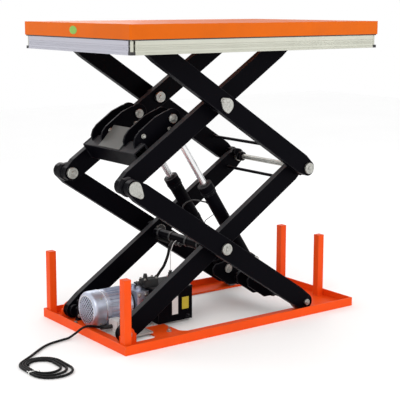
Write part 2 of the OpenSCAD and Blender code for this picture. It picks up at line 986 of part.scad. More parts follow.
module trip_corners() {
    for (x = [-1, 1], y = [-1, 1])
        translate([x * (trip_half_l - corner_w / 2), y * (trip_half_w - corner_w / 2), trip_z])
            children();
}

module trip_corner_posts() {
    color([0.86, 0.86, 0.86]) trip_corners() translate([0, 0, cap_h])
        cylinder(r = 7, h = trip_h - 2 * cap_h);
}

module trip_corner_caps() {
    color([0.06, 0.06, 0.06]) trip_corners() for (z = [0, trip_h - cap_h])
        translate([-corner_w / 2, -corner_w / 2, z]) cube([corner_w, corner_w, cap_h]);
}

base_rail_near();
base_rail_far();
base_end_left();
base_end_right();
rest_posts();
hinge_lugs();
hinge_pins();
pack_tray();
tray_bolts();
motor_body();
motor_fan_cover();
motor_fan();
terminal_box();
pump_block();
oil_tank();
filler_cap();
solenoid_valve();
lowering_button();
cable_gland();
power_cord();
cord_coil();
cord_tie();
lower_inner_arm_near();
lower_inner_arm_far();
lower_inner_cross_tube();
mid_tie_tube();
inner_arm_pins();
lower_outer_arm_near();
lower_outer_arm_far();
lower_outer_cross_tube();
cylinder_foot_plates();
foot_pins();
left_mid_pins();
base_roller_axles();
base_roller_near();
base_roller_far();
cylinder_barrel_near();
cylinder_barrel_far();
piston_rod_near();
piston_rod_far();
upper_inner_arm_near();
upper_inner_arm_far();
cylinder_bracket_plates();
head_pins();
bracket_cross_member();
upper_inner_top_tube();
top_roller_axles();
top_roller_near();
top_roller_far();
upper_outer_arm_near();
upper_outer_arm_far();
upper_outer_tie_rod();
upper_centre_pins();
platform_deck();
deck_fittings();
platform_hinge_pins();
trip_frame_long();
trip_frame_short();
trip_corner_posts();
trip_corner_caps();
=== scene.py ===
import json
from math import cos, pi, radians, sin, sqrt, tau

import bmesh
import bpy
from mathutils import Matrix, Vector


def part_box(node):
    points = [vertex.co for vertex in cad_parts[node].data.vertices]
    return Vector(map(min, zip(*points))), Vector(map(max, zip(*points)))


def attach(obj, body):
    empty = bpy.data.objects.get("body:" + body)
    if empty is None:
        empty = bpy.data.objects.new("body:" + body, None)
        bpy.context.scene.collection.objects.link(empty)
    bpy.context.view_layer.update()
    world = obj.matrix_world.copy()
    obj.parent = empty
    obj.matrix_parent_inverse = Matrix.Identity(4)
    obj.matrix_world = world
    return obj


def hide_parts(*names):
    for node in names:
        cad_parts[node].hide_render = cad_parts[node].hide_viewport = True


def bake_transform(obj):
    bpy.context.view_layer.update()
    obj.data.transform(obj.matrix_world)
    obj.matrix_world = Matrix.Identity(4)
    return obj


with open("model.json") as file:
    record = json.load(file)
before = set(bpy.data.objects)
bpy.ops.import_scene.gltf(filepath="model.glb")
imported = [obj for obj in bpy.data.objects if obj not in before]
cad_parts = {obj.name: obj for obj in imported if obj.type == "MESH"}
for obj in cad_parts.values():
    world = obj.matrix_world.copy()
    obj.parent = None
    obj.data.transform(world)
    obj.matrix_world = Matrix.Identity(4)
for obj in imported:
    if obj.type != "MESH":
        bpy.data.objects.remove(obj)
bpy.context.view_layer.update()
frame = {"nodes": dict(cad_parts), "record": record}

MM = 0.001
NODES = frame["nodes"]

# ---------- scissor frame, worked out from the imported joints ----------

JOINTS = {j["name"]: j for j in frame["record"]["behaviour"]["joints"]}


def joint_xz(name):
    x, _, z = JOINTS[name]["pos_m"]
    return Vector((x, 0, z))


BASE_PIN = joint_xz("lift")
LOWER_CENTRE = joint_xz("lower_scissor")
LEFT_MID = joint_xz("middle_hinge")
TOP_PIN = joint_xz("platform_hinge")
RISE = (LOWER_CENTRE - BASE_PIN).normalized()
FALL = (LOWER_CENTRE - LEFT_MID).normalized()
RISE_UP = Vector((-RISE.z, 0, RISE.x))
ACROSS = Vector((0, 1, 0))


def frame_matrix(origin, along):
    """Matrix of a frame whose X runs along, whose Y runs across the table."""
    up = Vector((-along.z, 0, along.x))
    matrix = Matrix((along, ACROSS, up)).transposed().to_4x4()
    matrix.translation = origin
    return matrix


LOWER_INNER = frame_matrix(BASE_PIN, RISE)
LOWER_OUTER = frame_matrix(LEFT_MID, FALL)
UPPER_INNER = frame_matrix(LEFT_MID, RISE)
UPPER_OUTER = frame_matrix(TOP_PIN, FALL)
WORLD = Matrix.Identity(4)
CYLINDER_UP = -Vector(JOINTS["cylinder_stroke"]["axis"]).normalized()
FOOT_U = 927        # the cylinders' foot pin, along the lower outer arms
TUBE_U, TUBE_V = 527, 8     # the lower inner arms' cross tube
CYLINDER = frame_matrix(LEFT_MID + FALL * FOOT_U * MM, CYLINDER_UP)
ARM_PITCH = (LOWER_CENTRE - BASE_PIN).length * 2 / MM
SIDES = (("near", -1), ("far", 1))

# A body and the frame its pieces are drawn in, for place()
LOWER_IN = ("lower_inner_arms", LOWER_INNER)
LOWER_OUT = ("lower_outer_arms", LOWER_OUTER)
UPPER_IN = ("upper_inner_arms", UPPER_INNER)
UPPER_OUT = ("upper_outer_arms", UPPER_OUTER)
BARRELS = ("cylinder_barrels", CYLINDER)

UP = (0, 0, 1)
NEARWARD = (0, -1, 0)


def node_box(name):
    """Low and high corner of a CAD node's box, in millimetres."""
    return [[v / MM for v in corner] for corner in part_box(name)]


# ---------- materials ----------

class Shader:
    """A Principled material with short helpers for the nodes that feed it."""

    def __init__(self, name, **values):
        self.material = bpy.data.materials.new(name)
        self.material.use_nodes = True
        self.nodes = self.material.node_tree.nodes
        self.links = self.material.node_tree.links
        self.bsdf = self.nodes["Principled BSDF"]
        for socket, value in values.items():
            self.bsdf.inputs[socket.replace("_", " ")].default_value = value
        self.bumps = None

    def feed(self, target, value):
        if isinstance(value, bpy.types.NodeSocket):
            self.links.new(value, target)
        else:
            target.default_value = value

    def node(self, kind, **inputs):
        made = self.nodes.new(kind)
        for socket, value in inputs.items():
            self.feed(made.inputs[socket.replace("_", " ")], value)
        return made

    def coords(self, stretch=(1, 1, 1)):
        place = self.nodes.new("ShaderNodeTexCoord")
        return self.node("ShaderNodeMapping", Vector=place.outputs["Object"], Scale=stretch).outputs[0]

    def noise(self, scale, detail=4.0, rough=0.6, stretch=(1, 1, 1)):
        made = self.node("ShaderNodeTexNoise", Vector=self.coords(stretch), Scale=scale,
                         Detail=detail, Roughness=rough)
        return made.outputs["Fac"]

    def ramp(self, fac, stops):
        made = self.node("ShaderNodeValToRGB", Fac=fac)
        marks = made.color_ramp.elements
        while len(marks) < len(stops):
            marks.new(0.5)
        for mark, (place, colour) in zip(marks, stops):
            mark.position = place
            mark.color = (*colour, 1)
        return made.outputs["Color"]

    def to(self, socket, output):
        self.links.new(output, self.bsdf.inputs[socket])

    def span(self, fac, low, high, start=0.3, stop=0.7):
        made = self.node("ShaderNodeMapRange", Value=fac, From_Min=start, From_Max=stop,
                         To_Min=low, To_Max=high)
        return made.outputs["Result"]

    def bump(self, height, strength, distance):
        made = self.node("ShaderNodeBump", Height=height, Strength=strength, Distance=distance)
        if self.bumps:
            self.links.new(self.bumps, made.inputs["Normal"])
        self.bumps = made.outputs["Normal"]
        self.to("Normal", self.bumps)

    def soft_edges(self, radius):
        made = self.node("ShaderNodeBevel", Radius=radius)
        made.samples = 6
        self.bumps = made.outputs["Normal"]
        self.to("Normal", self.bumps)

    def edge_mask(self, radius, start=0.01, stop=0.12):
        """One along edges and corners, nought on flat faces."""
        bevel = self.node("ShaderNodeBevel", Radius=radius)
        bevel.samples = 6
        flat = self.nodes.new("ShaderNodeNewGeometry").outputs["Normal"]
        dot = self.nodes.new("ShaderNodeVectorMath")
        dot.operation = "DOT_PRODUCT"
        self.links.new(bevel.outputs["Normal"], dot.inputs[0])
        self.links.new(flat, dot.inputs[1])
        return self.span(dot.outputs["Value"], 1, 0, 1 - stop, 1 - start)

    def upward(self):
        """One on faces that look up, nought on the rest."""
        place = self.nodes.new("ShaderNodeTexCoord")
        parts = self.node("ShaderNodeSeparateXYZ", Vector=place.outputs["Normal"])
        return self.span(parts.outputs["Z"], 0, 1, 0.62, 0.80)

    def times(self, a, b):
        made = self.nodes.new("ShaderNodeMath")
        made.operation = "MULTIPLY"
        self.links.new(a, made.inputs[0])
        self.links.new(b, made.inputs[1])
        return made.outputs[0]

    def mix(self, fac, a, b):
        made = self.nodes.new("ShaderNodeMix")
        made.data_type = "RGBA"
        for socket, value in ((0, fac), (6, a), (7, b)):
            self.feed(made.inputs[socket], (*value, 1) if isinstance(value, tuple) else value)
        return made.outputs[2]


def shades(colour, dark, light, start=0.3, stop=0.7):
    """Stops of a ramp from a darker to a lighter shade of one colour."""
    return [(start, tuple(c * dark for c in colour)), (stop, tuple(c * light for c in colour))]


def paint(name, colour, worn, rough=(0.34, 0.48), edge=0.0022, shine=0.4, edge_highlight=None, top_highlight=None):
    """Sprayed paint: a faint orange peel, scratches, and if asked for painted highlights along the edges and
    a painted highlight on faces that look up.
    """
    s = Shader(name, Metallic=0.0, Specular_IOR_Level=shine)
    s.soft_edges(edge)
    tone = s.ramp(s.noise(3.5, 5), shades(colour, 0.9, 1.08))
    scratch = s.span(s.noise(46, 3, 0.7, (1, 1, 9)), 0, 1, 0.70, 0.76)
    shade = s.mix(scratch, tone, worn)
    if edge_highlight:
        # Painted highlight: the edges are lightened, in patches, towards the given edge colour, as if they
        # caught the light.
        lit_edges = s.times(s.edge_mask(edge), s.span(s.noise(22, 4), 0.25, 1, 0.35, 0.6))
        shade = s.mix(lit_edges, shade, edge_highlight)
    if top_highlight:
        # Painted highlight: faces that look up are lightened towards the given top colour, as if lit from
        # above.
        lit_tops = s.times(s.upward(), s.span(s.noise(9, 4), 0.75, 1))
        shade = s.mix(lit_tops, shade, top_highlight)
    s.to("Base Color", shade)
    s.to("Roughness", s.span(s.noise(14, 5), *rough))
    s.bump(s.noise(520, 2, 0.5), 0.12, 0.0006)
    return s.material


def zinc_steel(name, colour, rough):
    """Zinc plate: a mottled spangle over fine turning marks."""
    s = Shader(name, Metallic=1.0)
    s.soft_edges(0.0012)
    s.to("Base Color", s.ramp(s.noise(120, 5), shades(colour, 0.78, 1.15, 0.35, 0.65)))
    s.to("Roughness", s.span(s.noise(60, 4), *rough))
    s.bump(s.noise(900, 2, 0.5, (1, 8, 1)), 0.12, 0.0004)
    return s.material


def chrome(name):
    s = Shader(name, Metallic=1.0)
    s.to("Base Color", s.ramp(s.noise(9, 4), [(0.3, (0.70, 0.70, 0.71)), (0.7, (0.86, 0.86, 0.87))]))
    s.to("Roughness", s.span(s.noise(35, 4, 0.6, (1, 1, 6)), 0.09, 0.2))
    return s.material


def cast_aluminium(name, colour, grain):
    """Sand-cast metal under silver lacquer."""
    s = Shader(name, Metallic=0.85)
    s.soft_edges(0.0015)
    s.to("Base Color", s.ramp(s.noise(24, 6), shades(colour, 0.86, 1.1)))
    s.to("Roughness", s.span(s.noise(50, 4), 0.32, 0.5))
    s.bump(s.noise(420, 5, 0.7), grain, 0.0007)
    return s.material


def extruded_aluminium(name, stretch, colour):
    """Anodised section with die lines along its length."""
    s = Shader(name, Metallic=0.55)
    s.soft_edges(0.001)
    lines = s.noise(90, 3, 0.6, stretch)
    s.to("Base Color", s.ramp(lines, shades(colour, 0.97, 1.02)))
    s.to("Roughness", s.span(s.noise(12, 4), 0.34, 0.5))
    s.bump(lines, 0.10, 0.0004)
    return s.material


def plastic(name, colour, rough=(0.4, 0.55), grain=0.15):
    s = Shader(name, Metallic=0.0)
    s.soft_edges(0.001)
    s.to("Base Color", s.ramp(s.noise(18, 4), shades(colour, 0.88, 1.1)))
    s.to("Roughness", s.span(s.noise(40, 4), *rough))
    s.bump(s.noise(700, 3, 0.6), grain, 0.0004)
    return s.material


def rubber_sheath(name):
    """Cable sheath: dull, faintly ribbed, with dust."""
    s = Shader(name, Metallic=0.0, Specular_IOR_Level=0.12)
    tones = [(0.35, (0.0035, 0.0035, 0.004)), (0.75, (0.011, 0.011, 0.011))]
    s.to("Base Color", s.ramp(s.noise(30, 5), tones))
    s.to("Roughness", s.span(s.noise(80, 4), 0.42, 0.62))
    s.bump(s.noise(600, 3, 0.6), 0.2, 0.0004)
    return s.material


MAT = {
    # The edge colours below are painted highlights along the edges.
    "orange_paint": paint("orange_paint", (0.655, 0.119, 0.003), (0.58, 0.10, 0.012),
                          shine=0.08, edge_highlight=(0.80, 0.20, 0.03)),
    "orange_base": paint("orange_base", (0.83, 0.076, 0.006), (0.66, 0.07, 0.01),
                         shine=0.1, edge_highlight=(0.88, 0.15, 0.03)),
    # Its upward colour is a painted highlight on faces that look up.
    "black_paint": paint("black_paint", (0.0022, 0.0020, 0.0034), (0.006, 0.006, 0.007),
                         rough=(0.30, 0.46), edge=0.004, shine=0.022,
                         edge_highlight=(0.045, 0.045, 0.050), top_highlight=(0.060, 0.060, 0.064)),
    "zinc_steel": zinc_steel("zinc_steel", (0.46, 0.46, 0.43), (0.36, 0.5)),
    "roller_steel": zinc_steel("roller_steel", (0.16, 0.16, 0.165), (0.3, 0.5)),
    "guard_steel": paint("guard_steel", (0.112, 0.115, 0.110), (0.08, 0.08, 0.08), shine=0.1),
    "tray_steel": paint("tray_steel", (0.52, 0.50, 0.48), (0.40, 0.38, 0.35)),
    "cast_aluminium": cast_aluminium("cast_aluminium", (0.53, 0.57, 0.68), 0.25),
    "grey_plastic": plastic("grey_plastic", (0.66, 0.66, 0.66)),
    "black_plastic": plastic("black_plastic", (0.012, 0.012, 0.013)),
    "red_plastic": plastic("red_plastic", (0.45, 0.02, 0.015), (0.25, 0.4), 0.05),
    "cord_rubber": rubber_sheath("cord_rubber"),
    "white_plastic": plastic("white_plastic", (0.80, 0.80, 0.78)),
    "yellow_plastic": plastic("yellow_plastic", (0.60, 0.50, 0.03), (0.35, 0.5), 0.05),
    "green_plastic": plastic("green_plastic", (0.20, 0.42, 0.05), (0.35, 0.5), 0.05),
    "chrome_rod": chrome("chrome_rod"),
    "aluminium_section": extruded_aluminium("aluminium_section", (0.04, 1, 6), (0.515, 0.52, 0.445)),
    "aluminium_end": extruded_aluminium("aluminium_end", (1, 0.04, 6), (0.49, 0.49, 0.555)),
}


def dress(node, finish):
    slots = NODES[node].data.materials
    slots.clear()
    slots.append(MAT[finish])


def dress_nodes():
    """Each node in the finish of its slot, and some in a finish that is kin to it."""
    for entry in frame["record"]["subparts"]:
        dress(entry["node"], entry["material_slot"])
    for node in ("base_rail_near", "base_rail_far", "base_end_left", "base_end_right", "rest_posts",
                 "hinge_lugs"):
        dress(node, "orange_base")
    dress("trip_frame_short", "aluminium_end")
    dress("hinge_pins", "black_paint")


# ---------- mesh helpers ----------

def link(thing):
    bpy.context.scene.collection.objects.link(thing)


def add(name, mesh, material, body):
    """A smooth-shaded piece from a mesh, riding on a body if one is given."""
    thing = bpy.data.objects.new(name, mesh)
    link(thing)
    mesh.materials.append(MAT[material])
    for face in mesh.polygons:
        face.use_smooth = True
    if body:
        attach(thing, body)
    return thing


def from_bmesh(name, bm):
    bmesh.ops.recalc_face_normals(bm, faces=bm.faces)
    mesh = bpy.data.meshes.new(name)
    bm.to_mesh(mesh)
    bm.free()
    return mesh


def spokes(count):
    """Angles that share out a full turn evenly."""
    return [tau * k / count for k in range(count)]


def stitch(bm, loops, closed=False):
    """Faces between neighbouring loops of vertices, and from the last back to the first if closed."""
    for a, b in zip(loops, loops[1:] + (loops[:1] if closed else [])):
        for k in range(len(a)):
            m = (k + 1) % len(a)
            bm.faces.new((a[k], a[m], b[m], b[k]))


def tube(path, radius, sides=12):
    """A round tube along a path, closed at both ends."""
    bm = bmesh.new()
    loops = []
    last = len(path) - 1
    side = None
    for i, point in enumerate(path):
        ahead = (path[min(i + 1, last)] - path[max(i - 1, 0)]).normalized()
        if side is None:
            guide = Vector((0, 0, 1)) if abs(ahead.z) < 0.9 else Vector((1, 0, 0))
            side = ahead.cross(guide).normalized()
        side = (side - ahead * side.dot(ahead)).normalized()
        up = side.cross(ahead).normalized()
        loops.append([bm.verts.new(point + side * cos(a) * radius + up * sin(a) * radius)
                      for a in spokes(sides)])
    stitch(bm, loops)
    bm.faces.new(list(reversed(loops[0])))
    bm.faces.new(loops[-1])
    return bm


def tube_mesh(name, path, radius, sides=12):
    return from_bmesh(name, tube(path, radius, sides))


def smooth_path(points, steps=6):
    """Catmull-Rom curve through the points."""
    p = [Vector(q) for q in points]
    n = len(p) - 1
    line = []
    for i in range(n):
        a, b, c, d = p[max(i - 1, 0)], p[i], p[i + 1], p[min(i + 2, n)]
        for k in range(steps):
            t = k / steps
            line.append(0.5 * (2 * b + (c - a) * t + (2 * a - 5 * b + 4 * c - d) * t * t
                               + (3 * b - a - 3 * c + d) * t ** 3))
    line.append(p[n].copy())
    return line


# ---------- camera and light ----------

def make_camera():
    data = bpy.data.cameras.new("camera")
    data.lens = 95.88
    data.sensor_width = 36
    data.shift_x, data.shift_y = 0.0357, -0.0605
    camera = bpy.data.objects.new("camera", data)
    camera.location = (-2.8106, -3.7780, 1.3830)
    camera.rotation_euler = (pi / 2 - 0.1601, 0, -0.6239)
    link(camera)
    bpy.context.scene.camera = camera


def area_light(name, place, aim, size, power, tint=(1, 1, 1)):
    data = bpy.data.lights.new(name, "AREA")
    data.shape = "RECTANGLE"
    data.size, data.size_y = size
    data.energy = power
    data.color = tint
    light = bpy.data.objects.new(name, data)
    light.location = place
    light.rotation_euler = (Vector(aim) - Vector(place)).to_track_quat("-Z", "Y").to_euler()
    link(light)


def make_studio():
    world = bpy.data.worlds.new("studio")
    world.use_nodes = True
    back = world.node_tree.nodes["Background"]
    back.inputs["Color"].default_value = (1, 1, 1, 1)
    back.inputs["Strength"].default_value = 1.0
    bpy.context.scene.world = world
    bpy.context.scene.view_settings.view_transform = "Standard"
    area_light("key", (-3.2, -3.0, 3.4), (0, 0, 0.8), (2.0, 2.0), 60, (1.0, 0.98, 0.95))
    area_light("fill", (3.0, -3.4, 2.0), (0, 0, 0.6), (2.6, 2.2), 20)
    area_light("rim", (0.5, 3.6, 2.6), (0, 0, 0.8), (3.0, 1.6), 30)
    bm = bmesh.new()
    bmesh.ops.create_grid(bm, x_segments=8, y_segments=8, size=9)
    mesh = from_bmesh("floor", bm)
    floor = bpy.data.objects.new("floor", mesh)
    floor.location = (0, 0, -0.0005)
    s = Shader("floor_pale", Roughness=0.9)
    s.to("Base Color", s.ramp(s.noise(0.6, 2), [(0.3, (0.965, 0.965, 0.965)), (0.7, (0.985, 0.985, 0.985))]))
    mesh.materials.append(s.material)
    link(floor)


# ---------- power cord ----------

CORD_D = 0.010
CORD_ROUTE = [
    (-0.534, -0.050, 0.030), (-0.552, -0.050, 0.031), (-0.576, -0.048, 0.037),
    (-0.600, -0.044, 0.045), (-0.628, -0.038, 0.047), (-0.650, -0.032, 0.041),
    (-0.678, -0.025, 0.022), (-0.708, -0.022, 0.008), (-0.745, -0.025, 0.006),
    (-0.795, -0.036, 0.006), (-0.837, -0.054, 0.006), (-0.888, -0.090, 0.006),
    (-0.944, -0.135, 0.006), (-0.998, -0.173, 0.006),
]
COIL_CENTRE = Vector((-0.952, -0.290, 0))
COIL_HALF = 0.044
LANE = 0.0125
COIL_OUTER = 0.0864


def coil_points():
    """Flat turns that lie close at the back and the tie, and open out towards the front."""
    start = radians(122)
    turns, steps = 3.15, 30
    line = []
    for i in range(1, int(turns * steps)):
        turn = i / steps
        angle = (start + tau * turn) % tau
        radius = COIL_OUTER - LANE * turn
        half = COIL_HALF - 0.008 * turn
        x = radius * cos(angle) - 0.002 * turn
        y = radius * sin(angle) + 0.009 * turn + (half if sin(angle) >= 0 else -half)
        line.append(COIL_CENTRE + Vector((x, y, 0.006)))
    filled = []
    for a, b in zip(line, line[1:]):
        pieces = max(1, round((b - a).length / 0.014))
        filled += [a.lerp(b, k / pieces) for k in range(pieces)]
    return filled + [line[-1]]


def make_cord():
    path = smooth_path(CORD_ROUTE, 5) + coil_points()
    mesh = tube_mesh("power_cord", path, CORD_D / 2, 12)
    cord = add("power_cord_cable", mesh, "cord_rubber", "base")
    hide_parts("power_cord", "cord_coil")
    make_tie()
    make_gland()


# ---------- lathe, prisms and bolts ----------

def lathe(profile, segments=40):
    """Turns (along, radius) points about the X axis into a closed bmesh."""
    bm = bmesh.new()
    rings = []
    for along, radius in profile:
        if radius < 1e-6:
            rings.append([bm.verts.new((along, 0, 0))])
            continue
        rings.append([bm.verts.new((along, radius * cos(a), radius * sin(a))) for a in spokes(segments)])
    for a, b in zip(rings, rings[1:]):
        for k in range(segments):
            m = (k + 1) % segments
            corners = [a[k % len(a)], a[m % len(a)], b[m % len(b)], b[k % len(b)]]
            unique = list(dict.fromkeys(corners))
            if len(unique) > 2:
                bm.faces.new(unique)
    return bm


def prism(outline, low, high, bevel=0.0):
    """Extrudes an outline in X and Z from low to high along Y."""
    bm = bmesh.new()
    near = [bm.verts.new((x, low, z)) for x, z in outline]
    far = [bm.verts.new((x, high, z)) for x, z in outline]
    bm.faces.new(near)
    bm.faces.new(list(reversed(far)))
    count = len(outline)
    for k in range(count):
        m = (k + 1) % count
        bm.faces.new((near[k], far[k], far[m], near[m]))
    if bevel:
        bmesh.ops.bevel(bm, geom=bm.edges[:], offset=bevel, segments=2, affect="EDGES")
    return bm


def moved(bm, spot, turn=None):
    if turn is not None:
        bmesh.ops.transform(bm, matrix=turn.to_4x4(), verts=bm.verts)
    bmesh.ops.translate(bm, vec=spot, verts=bm.verts)
    return bm


def joined(parts):
    """One bmesh from several."""
    whole = bmesh.new()
    for part in parts:
        mesh = bpy.data.meshes.new("part")
        part.to_mesh(mesh)
        part.free()
        whole.from_mesh(mesh)
        bpy.data.meshes.remove(mesh)
    return whole


def facing(direction):
    """Rotation that takes +X to direction."""
    return Vector(direction).to_track_quat("X", "Z").to_matrix()


def hex_bolt(across, height, washer=True):
    """A hexagon head with a chamfered crown on a washer, along +X from 0."""
    r = across / 2 / cos(pi / 6)
    base = height * 0.2 if washer else 0.0
    crown = base + height * 0.8
    profile = [(base, 0), (base, r), (crown - height * 0.15, r), (crown, r * 0.86), (crown, 0)]
    parts = [lathe(profile, 6)]
    if washer:
        parts.append(lathe([(0, 0), (0, r * 1.25), (base * 0.7, r * 1.3), (base, r * 1.2), (base, 0)], 24))
    return joined(parts)


def smart_shading(thing, limit=30):
    """Marks the edges sharper than the limit, so that smooth shading stops at them."""
    mesh = thing.data
    bm = bmesh.new()
    bm.from_mesh(mesh)
    for edge in bm.edges:
        edge.smooth = edge.calc_face_angle(0) < radians(limit)
    bm.to_mesh(mesh)
    bm.free()


# ---------- more helpers: all of these take millimetres ----------

def place(name, parts, material, body="base", matrix=WORLD):
    """One piece from bmeshes in millimetres, set in a frame, riding on a body."""
    whole = joined(parts) if isinstance(parts, list) else parts
    bmesh.ops.transform(whole, matrix=matrix @ Matrix.Scale(MM, 4), verts=whole.verts)
    thing = add(name, from_bmesh(name, whole), material, body)
    smart_shading(thing)
    return thing


def belt(circles, steps=28):
    """Outline that a belt would take round (x, z, radius) circles."""
    cloud = sorted({(round(x + r * cos(a), 4), round(z + r * sin(a), 4))
                    for x, z, r in circles for a in spokes(steps)})

    def half(points):
        chain = []
        for p in points:
            while len(chain) > 1:
                (ax, az), (bx, bz) = chain[-2], chain[-1]
                if (bx - ax) * (p[1] - az) - (bz - az) * (p[0] - ax) > 0:
                    break
                chain.pop()
            chain.append(p)
        return chain[:-1]

    return half(cloud) + half(cloud[::-1])


def plate(circles, low, high):
    """A flat plate with the outline of a belt round the circles."""
    return prism(belt(circles), low, high, 0.8)


def turned(bm, spot, direction):
    return moved(bm, spot, facing(direction))


def box(centre, size, bevel=1.5):
    """A box with rounded edges."""
    bm = bmesh.new()
    bmesh.ops.create_cube(bm, size=1)
    bmesh.ops.scale(bm, vec=size, verts=bm.verts)
    bmesh.ops.bevel(bm, geom=bm.edges[:], offset=bevel, segments=2, affect="EDGES")
    return moved(bm, centre)


def pin_face(radius):
    """End of a turned pin along +X: chamfered rim, groove and a centre bolt."""
    r = radius
    face = lathe([(0, 0), (0, r), (2.0, r), (3.2, r * 0.93), (3.2, r * 0.76), (1.8, r * 0.73),
                  (1.8, r * 0.66), (3.0, r * 0.63), (3.0, r * 0.42), (2.2, r * 0.38), (2.2, 0)], 36)
    return [face, moved(hex_bolt(r * 0.62, 5, False), (2.0, 0, 0))]


def hoop(profile, segments):
    """Turns a closed (along, radius) outline about the X axis."""
    bm = bmesh.new()
    loops = [[bm.verts.new((x, r * cos(a), r * sin(a))) for a in spokes(segments)] for x, r in profile]
    stitch(bm, loops, closed=True)
    return bm


def ring(inner, outer, low, high, chamfer=1.0, segments=36):
    """A turned ring about X with chamfered outer corners."""
    return hoop([(low, inner), (low, outer - chamfer), (low + chamfer, outer),
                 (high - chamfer, outer), (high, outer - chamfer), (high, inner)], segments)


def bead(path, radius, waves=0.9, sides=8):
    """A closed weld bead along a loop of points, with the ripples of its passes."""
    bm = bmesh.new()
    count = len(path)
    loops = []
    for i, point in enumerate(path):
        ahead = (Vector(path[(i + 1) % count]) - Vector(path[i - 1])).normalized()
        guide = Vector((0, 0, 1)) if abs(ahead.z) < 0.9 else Vector((0, 1, 0))
        side = ahead.cross(guide).normalized()
        up = side.cross(ahead)
        r = radius * (1 + 0.18 * sin(i * waves * pi))
        loops.append([bm.verts.new(Vector(point) + (side * cos(a) + up * sin(a)) * r)
                      for a in spokes(sides)])
    stitch(bm, loops, closed=True)
    return bm


def round_bead(u, v, y, radius, thick=3.0):
    """Weld bead round a tube that runs along Y."""
    count = max(16, int(tau * radius / 4) // 2 * 2)
    return bead([(u + radius * cos(a), y, v + radius * sin(a)) for a in spokes(count)], thick)


def square_bead(corners, thick=3.0, step=4.0):
    """Weld bead along the straight runs between corners."""
    path = []
    for a, b in zip(corners, corners[1:] + corners[:1]):
        a, b = Vector(a), Vector(b)
        pieces = max(2, int((b - a).length / step))
        path += [a.lerp(b, k / pieces) for k in range(pieces)]
    return bead(path, thick)


def hose_mesh(name, points, radius, sides=12):
    """Hose mesh and its path in metres, from points in millimetres."""
    path = smooth_path([Vector(p) * MM for p in points])
    return tube_mesh(name, path, radius * MM, sides), path


def ferrule(radius, length=26):
    """Crimped hose end along +X: a swivel nut, then a ribbed sleeve over the hose."""
    r = radius
    nut = lathe([(0, 0), (0, r * 1.5), (1, r * 1.62), (8, r * 1.62), (9, r * 1.5), (9, 0)], 6)
    profile = [(8.5, 0), (8.5, r * 1.2)]
    for k in range(4):
        x = 10 + k * (length - 12) / 4
        profile += [(x, r * 1.38), (x + 2.2, r * 1.38), (x + 2.8, r * 1.24)]
    profile += [(length, r * 1.24), (length, 0)]
    return [nut, lathe(profile, 24)]


# ---------- motor ----------

MOTOR_PLACE = (-578, 52, 89)
MOTOR = Matrix.Translation(Vector(MOTOR_PLACE) * MM)
MOTOR_R = 78
MOTOR_SIDES = 64


def motor_grille(radius, pitch=12.0, wire=1.9):
    """Two crossed rows of wires that bulge a little, inside a circle."""
    strands = []
    rows = int(radius / pitch)
    pieces = 10
    for turn in (radians(38), radians(-52)):
        along = Vector((0, cos(turn), sin(turn)))
        across = Vector((0, -sin(turn), cos(turn)))
        for off in (row * pitch for row in range(-rows, rows + 1)):
            reach = sqrt(max(0.0, radius ** 2 - off ** 2))
            if reach < pitch:
                continue
            path = []
            for k in range(pieces + 1):
                s = -reach + 2 * reach * k / pieces
                bulge = 5.5 * (1 - (s * s + off * off) / radius ** 2)
                path.append(Vector((3.5 - bulge, 0, 0)) + along * s + across * off)
            strands.append(tube(path, wire, 5))
    return strands


def make_motor():
    """Cowl with its grille, rims, screws and feet, in the motor's own frame."""
    r = MOTOR_R
    arc = [radians(d) for d in range(0, 91, 10)]
    shoulder = [(20 * (1 - cos(a)), r - 14 + 14 * sin(a)) for a in arc]
    outer = [(2, r - 17), (0, r - 16)] + shoulder + [(58, r), (59.5, r - 1), (59.5, r - 3)]
    inner = [(20, r - 3), (10, r - 5), (5, r - 12), (4, r - 17)]
    cowl = place("motor_cowl", hoop(outer + inner, MOTOR_SIDES), "cast_aluminium", "base", MOTOR)
    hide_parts("motor_fan_cover")
    place("motor_grille", motor_grille(r - 15), "cast_aluminium", "base", MOTOR)
    for name, size, finish in (
            ("motor_grille_rim", (r - 19, r - 14.5, 0.6, 4.4, 1.2), "chrome_rod"),
            ("motor_seam_ring", (r - 3, r + 0.6, 59.5, 62.5, 1.0), "chrome_rod"),
            ("motor_end_shield", (r - 8, r - 1.2, 63.5, 86, 3.0), "cast_aluminium")):
        place(name, ring(*size, MOTOR_SIDES), finish, "base", MOTOR)
    screws = []
    for a in (tau * (k + 0.5) / 4 for k in range(4)):
        y, z = cos(a), sin(a)
        screws.append(turned(hex_bolt(8, 5), (40, (r - 0.3) * y, (r - 0.3) * z), (0, y, z)))
        screws.append(moved(hex_bolt(11, 7), (192, 63 * y, 63 * z)))
    place("motor_screws", screws, "zinc_steel", "base", MOTOR)
    feet = []
    bolts = []
    for x in (96, 160):
        for side in (-1, 1):
            outline = [(x - 15, -78), (x + 15, -78), (x + 15, -70), (x + 8, -62), (x + 8, -40),
                       (x - 8, -40), (x - 8, -62), (x - 15, -70)]
            feet.append(prism(outline, side * 30, side * 62, 1.2))
            bolts.append(turned(hex_bolt(10, 6), (x + 11.5, side * 52, -70), UP))
    place("motor_feet", feet, "cast_aluminium", "base", MOTOR)
    place("motor_foot_bolts", bolts, "zinc_steel", "base", MOTOR)


